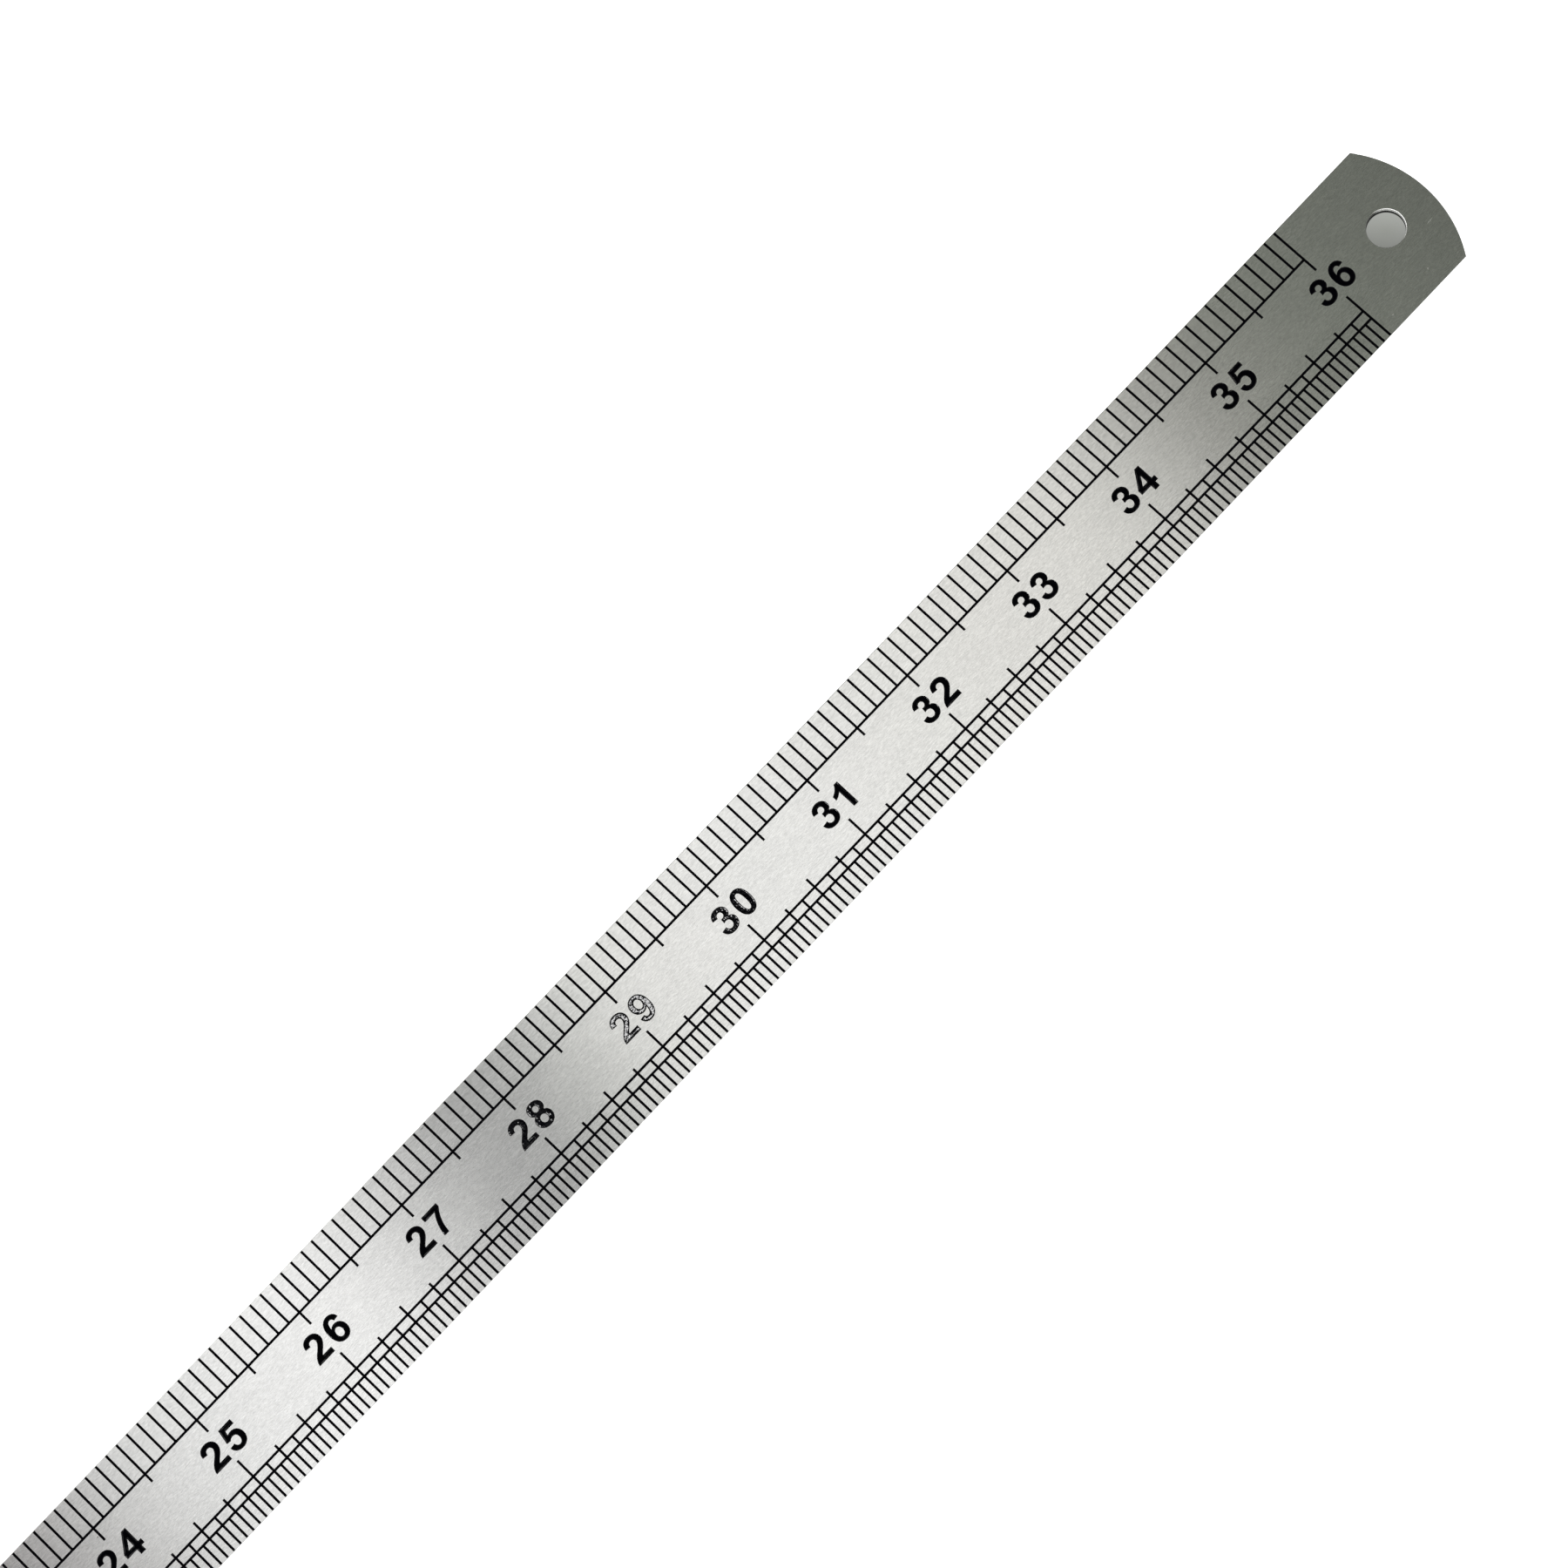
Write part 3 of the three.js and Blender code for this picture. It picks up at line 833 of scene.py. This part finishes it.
    rough = add(t, "ShaderNodeMapRange")
    rough.inputs["From Min"].default_value = 0.3
    rough.inputs["From Max"].default_value = 0.7
    rough.inputs["To Min"].default_value = 0.145
    rough.inputs["To Max"].default_value = 0.165
    blend = add(t, "ShaderNodeMath", operation="ADD")
    half = add(t, "ShaderNodeMath", operation="MULTIPLY")
    half.inputs[1].default_value = 0.5
    L(streak, blend.inputs[0])
    L(mottle, blend.inputs[1])
    L(blend.outputs[0], half.inputs[0])
    L(half.outputs[0], rough.inputs["Value"])
    scuffed = add(t, "ShaderNodeMath", operation="MULTIPLY_ADD")
    scuffed.inputs[1].default_value = 0.35
    L(nicks, scuffed.inputs[0])
    L(rough.outputs[0], scuffed.inputs[2])
    L(scuffed.outputs[0], b.inputs["Roughness"])

    bump = add(t, "ShaderNodeBump")
    bump.inputs["Strength"].default_value = 0.25
    bump.inputs["Distance"].default_value = 0.000002
    L(grain, bump.inputs["Height"])
    L(bump.outputs[0], b.inputs["Normal"])

    tangent = add(t, "ShaderNodeTangent", direction_type="RADIAL", axis="X")
    L(tangent.outputs[0], b.inputs["Tangent"])
    return m


def enamel_material():
    m, t, b = nodes_of("black_enamel")
    L = t.links.new
    where = add(t, "ShaderNodeTexCoord")
    mm = add(t, "ShaderNodeVectorMath", operation="SCALE")
    mm.inputs["Scale"].default_value = 1000.0
    L(where.outputs["Object"], mm.inputs[0])
    n = add(t, "ShaderNodeTexNoise")
    n.inputs["Scale"].default_value = 0.9
    n.inputs["Detail"].default_value = 3.0
    L(mm.outputs[0], n.inputs["Vector"])
    r = add(t, "ShaderNodeValToRGB")
    e = r.color_ramp.elements
    e[0].position, e[0].color = 0.3, (0.0004, 0.0004, 0.0007, 1)
    e[1].position, e[1].color = 0.75, (0.0010, 0.0010, 0.0018, 1)
    L(n.outputs["Fac"], r.inputs[0])
    L(r.outputs["Color"], b.inputs["Base Color"])
    rough = add(t, "ShaderNodeMapRange")
    rough.inputs["To Min"].default_value = 0.02
    rough.inputs["To Max"].default_value = 0.045
    L(n.outputs["Fac"], rough.inputs["Value"])
    L(rough.outputs[0], b.inputs["Roughness"])
    b.inputs["IOR"].default_value = 1.5
    b.inputs["Specular IOR Level"].default_value = 0.125
    fine = add(t, "ShaderNodeTexNoise")
    fine.inputs["Scale"].default_value = 1.1
    fine.inputs["Detail"].default_value = 2.0
    L(mm.outputs[0], fine.inputs["Vector"])
    bump = add(t, "ShaderNodeBump")
    bump.inputs["Strength"].default_value = 1.0
    bump.inputs["Distance"].default_value = 0.000014
    L(fine.outputs["Fac"], bump.inputs["Height"])
    L(bump.outputs[0], b.inputs["Normal"])
    return m


def sheared_material():
    """The wall of the punched hole: torn steel, rougher than the faces, with its light painted into the base
    colour: a painted highlight on the side towards the tip and painted shade round the rest.
    """
    m, t, b = nodes_of("sheared_steel")
    L = t.links.new
    b.inputs["Metallic"].default_value = 1.0
    where = add(t, "ShaderNodeTexCoord")
    mapping = add(t, "ShaderNodeMapping")
    mapping.inputs["Scale"].default_value = (3000.0, 3000.0, 500.0)
    L(where.outputs["Object"], mapping.inputs["Vector"])
    n = add(t, "ShaderNodeTexNoise")
    n.inputs["Scale"].default_value = 1.0
    n.inputs["Detail"].default_value = 2.0
    L(mapping.outputs[0], n.inputs["Vector"])
    # the bright base colour of the wall's lit side, a painted highlight
    r = add(t, "ShaderNodeValToRGB")
    e = r.color_ramp.elements
    e[0].position, e[0].color = 0.3, (0.86, 0.86, 0.85, 1)
    e[1].position, e[1].color = 0.7, (0.95, 0.95, 0.94, 1)
    L(n.outputs["Fac"], r.inputs[0])
    # painted highlight on the side towards the tip, painted shade (a dark base colour) round the rest
    side = add(t, "ShaderNodeVectorMath", operation="DOT_PRODUCT")
    side.inputs[1].default_value = (math.cos(math.radians(5)), math.sin(math.radians(5)), 0)
    away = add(t, "ShaderNodeVectorMath", operation="SUBTRACT")
    away.inputs[1].default_value = (HOLE_X * MM, HOLE_Y * MM, 0)
    L(where.outputs["Object"], away.inputs[0])
    L(away.outputs[0], side.inputs[0])
    painted_lit_side = add(t, "ShaderNodeMapRange", interpolation_type="SMOOTHSTEP")
    painted_lit_side.inputs["From Min"].default_value = 0.22 * HOLE_R * MM
    painted_lit_side.inputs["From Max"].default_value = 0.58 * HOLE_R * MM
    L(side.outputs["Value"], painted_lit_side.inputs["Value"])
    mix = add(t, "ShaderNodeMix", data_type="RGBA")
    mix.inputs["A"].default_value = (0.13, 0.13, 0.125, 1)
    L(painted_lit_side.outputs[0], mix.inputs["Factor"])
    L(r.outputs["Color"], mix.inputs["B"])
    L(mix.outputs["Result"], b.inputs["Base Color"])
    rough = add(t, "ShaderNodeMapRange")
    rough.inputs["To Min"].default_value = 0.45
    rough.inputs["To Max"].default_value = 0.6
    L(n.outputs["Fac"], rough.inputs["Value"])
    L(rough.outputs[0], b.inputs["Roughness"])
    return m


steel = steel_material()
sheared = sheared_material()
enamel = enamel_material()

# ------------------------------------------------------------------ pieces
tenths = tenths_outlines()
sixteenths = sixteenths_outlines()
numerals = {n: numeral_digits(n) for n in range(1, SCALE_INCHES + 1)}
marks = [tenths, sixteenths] + [d for n in numerals for d in numerals[n]]

rule = blade(steel, sheared, marks)
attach(rule, "root")
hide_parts("blade")


def enamel_piece(build, name, node):
    obj = build.object(name, enamel)
    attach(obj, "root")
    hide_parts(node)


b = Build()
scale_fill(b, tenths, 10)
enamel_piece(b, "tenths_scale_fill", "tenths_scale_enamel")
b = Build()
scale_fill(b, sixteenths, 10)
enamel_piece(b, "sixteenths_scale_fill", "sixteenths_scale_enamel")
for number, digits in numerals.items():
    b = Build()
    for outlines in digits:
        digit_fill(b, outlines)
    enamel_piece(b, f"numeral_{number:02d}_fill", f"numeral_{number:02d}_enamel")

# ------------------------------------------------------------------ floor


def one_sided(t, shader):
    """Lets the floor vanish when it is seen from below, so that the back of the rule can be seen."""
    side = add(t, "ShaderNodeNewGeometry")
    clear = add(t, "ShaderNodeBsdfTransparent")
    mix = add(t, "ShaderNodeMixShader")
    out = [n for n in t.nodes if n.bl_idname == "ShaderNodeOutputMaterial"][0]
    t.links.new(side.outputs["Backfacing"], mix.inputs[0])
    t.links.new(shader.outputs[0], mix.inputs[1])
    t.links.new(clear.outputs[0], mix.inputs[2])
    t.links.new(mix.outputs[0], out.inputs[0])


GAP = 0.95  # the rule isn't dead flat: at its end it stands this far off what it lies on
# It is open right under the rule, 1 mm in from its edges, as the back of the rule sees no light there.
under = drawn_in(blade_outline(), np.array([1.0, 1.0, 1.0]))
if area2(under) < 0:
    under = under[::-1]
rim = []
for a, b in zip(under, np.roll(under, -1, 0)):
    n = max(1, int(np.hypot(*(b - a)) // 10.0))
    rim += [a + (b - a) * k / n for k in range(n)]
rim = np.array(rim)
far = rim / np.hypot(rim[:, 0], rim[:, 1])[:, None] * 20000.0
table = Build()
inner, outer = [table.points(np.c_[o, np.full(len(o), -GAP)]) for o in (rim, far)]
table.band(outer, inner, False)
fm, ft, fb = nodes_of("floor")
fb.inputs["Roughness"].default_value = 0.9
fb.inputs["Specular IOR Level"].default_value = 0.1
fn = add(ft, "ShaderNodeTexNoise")
fn.inputs["Scale"].default_value = 3.0
fr = add(ft, "ShaderNodeValToRGB")
fr.color_ramp.elements[0].color = (0.86, 0.86, 0.86, 1)
fr.color_ramp.elements[1].color = (0.88, 0.88, 0.88, 1)
ft.links.new(fn.outputs["Fac"], fr.inputs[0])
ft.links.new(fr.outputs["Color"], fb.inputs["Base Color"])
one_sided(ft, fb)
ft.links.new(fr.outputs["Color"], fb.inputs["Emission Color"])
fb.inputs["Emission Strength"].default_value = 1.1  # the floor is a light table
table.object("floor", fm)

# The backdrop under the hang hole: a card that glows light grey by its own emission, with a painted shadow where
# the rule shades it and painted light that grows brighter along one diagonal.
card = Build()
card_ring = card.points(np.c_[circle(4.4, 64), np.full(64, -GAP + 0.02)])
card.faces([card_ring[::-1]], False)
cm, ct, cb = nodes_of("grey_card")
cb.inputs["Roughness"].default_value = 0.9
cb.inputs["Specular IOR Level"].default_value = 0.1
where = add(ct, "ShaderNodeTexCoord")
from_hole = add(ct, "ShaderNodeVectorMath", operation="DISTANCE")
from_hole.inputs[1].default_value = (HOLE_X * MM, HOLE_Y * MM, (-GAP + 0.02) * MM)
ct.links.new(where.outputs["Object"], from_hole.inputs[0])
reach = add(ct, "ShaderNodeMapRange")
reach.inputs["To Max"].default_value = 1.0
reach.inputs["From Max"].default_value = 5.0 * MM
ct.links.new(from_hole.outputs["Value"], reach.inputs["Value"])
# painted shadow: the glow is light grey out to 3.45 mm from the hole's axis and black from 3.53 mm on, where the
# rule shades the backdrop
cr = add(ct, "ShaderNodeValToRGB")
one_sided(ct, cb)
e = cr.color_ramp.elements
e[0].position, e[0].color = 0.0, (0.285, 0.295, 0.27, 1)
e[1].position, e[1].color = 0.69, (0.31, 0.32, 0.30, 1)
x = e.new(0.705)
x.color = (0.0, 0.0, 0.0, 1)
ct.links.new(reach.outputs[0], cr.inputs[0])
ct.links.new(cr.outputs["Color"], cb.inputs["Emission Color"])
cb.inputs["Base Color"].default_value = (0.02, 0.02, 0.02, 1)
# painted light: the glow's strength runs from 0.72 to 1.28 across the card, brighter towards +x and +y
along = add(ct, "ShaderNodeVectorMath", operation="DOT_PRODUCT")
along.inputs[1].default_value = (math.cos(math.radians(45)), math.sin(math.radians(45)), 0)
off_axis = add(ct, "ShaderNodeVectorMath", operation="SUBTRACT")
off_axis.inputs[1].default_value = (HOLE_X * MM, HOLE_Y * MM, 0)
ct.links.new(where.outputs["Object"], off_axis.inputs[0])
ct.links.new(off_axis.outputs[0], along.inputs[0])
painted_light_slant = add(ct, "ShaderNodeMapRange")
painted_light_slant.inputs["From Min"].default_value = -3.4 * MM
painted_light_slant.inputs["From Max"].default_value = 4.6 * MM
painted_light_slant.inputs["To Min"].default_value = 0.72
painted_light_slant.inputs["To Max"].default_value = 1.28
ct.links.new(along.outputs["Value"], painted_light_slant.inputs["Value"])
ct.links.new(painted_light_slant.outputs[0], cb.inputs["Emission Strength"])
card.object("backdrop_card", cm)

# ------------------------------------------------------------------ light
# A soft overhead light with darker gaps in it, as a light tent has. It is laid out by the slope of the
# direction along the rule (x over z) and across it (y over z).
world = bpy.data.worlds.new("studio")
scene.world = world
world.use_nodes = True
wt = world.node_tree
wt.nodes.clear()
W = wt.links.new
out = wt.nodes.new("ShaderNodeOutputWorld")
bg = wt.nodes.new("ShaderNodeBackground")
W(bg.outputs[0], out.inputs[0])
way = wt.nodes.new("ShaderNodeTexCoord")
sep = wt.nodes.new("ShaderNodeSeparateXYZ")
W(way.outputs["Generated"], sep.inputs[0])


def wmath(op, a, b=None, clamp=False):
    n = wt.nodes.new("ShaderNodeMath")
    n.operation = op
    n.use_clamp = clamp
    for i, x in enumerate((a, b)):
        if x is None:
            continue
        if isinstance(x, (int, float)):
            n.inputs[i].default_value = x
        else:
            W(x, n.inputs[i])
    return n.outputs[0]


def wsmooth(x, lo, hi, out_lo=0.0, out_hi=1.0):
    n = wt.nodes.new("ShaderNodeMapRange")
    n.interpolation_type = "SMOOTHSTEP"
    n.inputs["From Min"].default_value = lo
    n.inputs["From Max"].default_value = hi
    n.inputs["To Min"].default_value = out_lo
    n.inputs["To Max"].default_value = out_hi
    W(x, n.inputs["Value"])
    return n.outputs[0]


up = wmath("MAXIMUM", sep.outputs["Z"], 0.05)
slope_x = wmath("DIVIDE", sep.outputs["X"], up)
slope_y = wmath("DIVIDE", sep.outputs["Y"], up)

# slope along the rule, and how bright the tent is there
PROFILE = [
    (-1.6000, 0.420, 0.420, 0.420),
    (-1.3000, 5.500, 5.500, 5.500),
    (-0.6000, 5.000, 5.000, 5.000),
    (-0.3000, 1.400, 1.400, 1.400),
    (-0.2000, 0.700, 0.700, 0.700),
    (-0.1597, 0.433, 0.412, 0.411),
    (-0.1448, 0.535, 0.510, 0.511),
    (-0.1299, 1.088, 1.081, 1.063),
    (-0.1151, 1.715, 1.724, 1.714),
    (-0.0928, 1.783, 1.784, 1.777),
    (-0.0705, 2.115, 2.108, 2.104),
    (-0.0556, 1.894, 1.892, 1.885),
    (-0.0407, 1.240, 1.239, 1.223),
    (-0.0296, 0.775, 0.775, 0.764),
    (-0.0184, 0.463, 0.469, 0.476),
    (-0.0073, 0.556, 0.560, 0.559),
    (0.0039, 1.020, 1.044, 0.998),
    (0.0187, 1.770, 1.768, 1.711),
    (0.0336, 1.703, 1.684, 1.653),
    (0.0559, 1.811, 1.817, 1.783),
    (0.0782, 1.695, 1.687, 1.664),
    (0.1079, 1.676, 1.674, 1.613),
    (0.1377, 1.563, 1.538, 1.484),
    (0.1600, 1.730, 1.716, 1.639),
    (0.1748, 0.976, 0.966, 0.925),
    (0.1897, 0.518, 0.516, 0.465),
    (0.2120, 0.370, 0.398, 0.339),
    (0.2417, 0.285, 0.305, 0.263),
    (0.3200, 0.200, 0.210, 0.180),
    (0.6000, 0.220, 0.225, 0.210),
    (1.2000, 0.340, 0.340, 0.330),
]
P0, P1 = PROFILE[0][0], PROFILE[-1][0]
pos = wt.nodes.new("ShaderNodeMapRange")
pos.inputs["From Min"].default_value = P0
pos.inputs["From Max"].default_value = P1
W(slope_x, pos.inputs["Value"])
ramp = wt.nodes.new("ShaderNodeValToRGB")
ramp.color_ramp.interpolation = "LINEAR"
TOP = 6.0
els = ramp.color_ramp.elements
while len(els) > 1:
    els.remove(els[-1])
els[0].position = 0
els[0].color = (*[c / TOP for c in PROFILE[0][1:]], 1)
for p, *c in PROFILE[1:]:
    e = els.new((p - P0) / (P1 - P0))
    e.color = (*[x / TOP for x in c], 1)
W(pos.outputs[0], ramp.inputs[0])

# across the rule: dark where the camera's own mirror image looks, so that the enamel stays black
off = wmath("ABSOLUTE", wmath("SUBTRACT", slope_y, 0.203))
gap = wsmooth(off, 0.026, 0.060, 0.01, 1.0)
# away from the overhead light: plain grey walls, brighter high up and towards the zero end
height = wmath("MULTIPLY", wsmooth(sep.outputs["Z"], 0.1, 0.6, 0.36, 0.62), wsmooth(sep.outputs["X"], -0.7, 0.7, 1.35, 0.7))
wide = wsmooth(off, 0.9, 1.6)

overhead = wt.nodes.new("ShaderNodeMix")
overhead.data_type = "RGBA"
overhead.blend_type = "MULTIPLY"
overhead.inputs["Factor"].default_value = 1.0
W(ramp.outputs["Color"], overhead.inputs["A"])
W(gap, overhead.inputs["B"])
scaled = wt.nodes.new("ShaderNodeVectorMath")
scaled.operation = "SCALE"
scaled.inputs["Scale"].default_value = TOP
W(overhead.outputs["Result"], scaled.inputs[0])
total = wt.nodes.new("ShaderNodeMix")
total.data_type = "RGBA"
W(wide, total.inputs["Factor"])
W(scaled.outputs[0], total.inputs["A"])
W(height, total.inputs["B"])
W(total.outputs["Result"], bg.inputs["Color"])
bg.inputs["Strength"].default_value = 1.0

# A lamp and a dim panel in the gap of the tent, which the enamel of the middle numerals mirrors. They only
# light the enamel: on the brushed steel they would be a streak that the tent's own light already gives.
glossy = bpy.data.collections.new("numeral_fills")
for obj in scene.objects:
    if obj.type == "MESH" and obj.name.startswith("numeral_") and obj.name.endswith("_fill"):
        glossy.objects.link(obj)


def panel(name, x, y, wide, high, radiance, color):
    """A small light whose mirror image in the face is centred at x, y (mm) and wide by high (mm) there."""
    data = bpy.data.lights.new(name, "AREA")
    data.shape = "ELLIPSE"
    seen = Vector((x * MM, y * MM, T * MM))
    from_camera = seen - Vector(cam.location)
    mirror = Vector((from_camera.x, from_camera.y, -from_camera.z))
    far = 1.75
    grow = (1 + far) * MM
    data.size, data.size_y = wide * grow, high * grow
    data.energy = radiance * math.pi * math.pi / 4 * data.size * data.size_y
    data.color = color
    obj = bpy.data.objects.new(name, data)
    scene.collection.objects.link(obj)
    obj.location = seen + mirror * far
    obj.rotation_mode = "QUATERNION"
    obj.rotation_quaternion = (seen - obj.location).to_track_quat("-Z", "Y")
    obj.light_linking.receiver_collection = glossy


panel("lamp", inch_x(29) + 3.0, -0.4, 30, 12, 72.0, (1.0, 1.0, 1.0))
panel("dim_panel", inch_x(29) - 1.0, -0.2, 72, 16, 0.9, (0.93, 0.95, 1.0))

scene.view_settings.view_transform = "Standard"
scene.view_settings.look = "None"
scene.view_settings.exposure = 0.0
scene.view_settings.gamma = 1.0
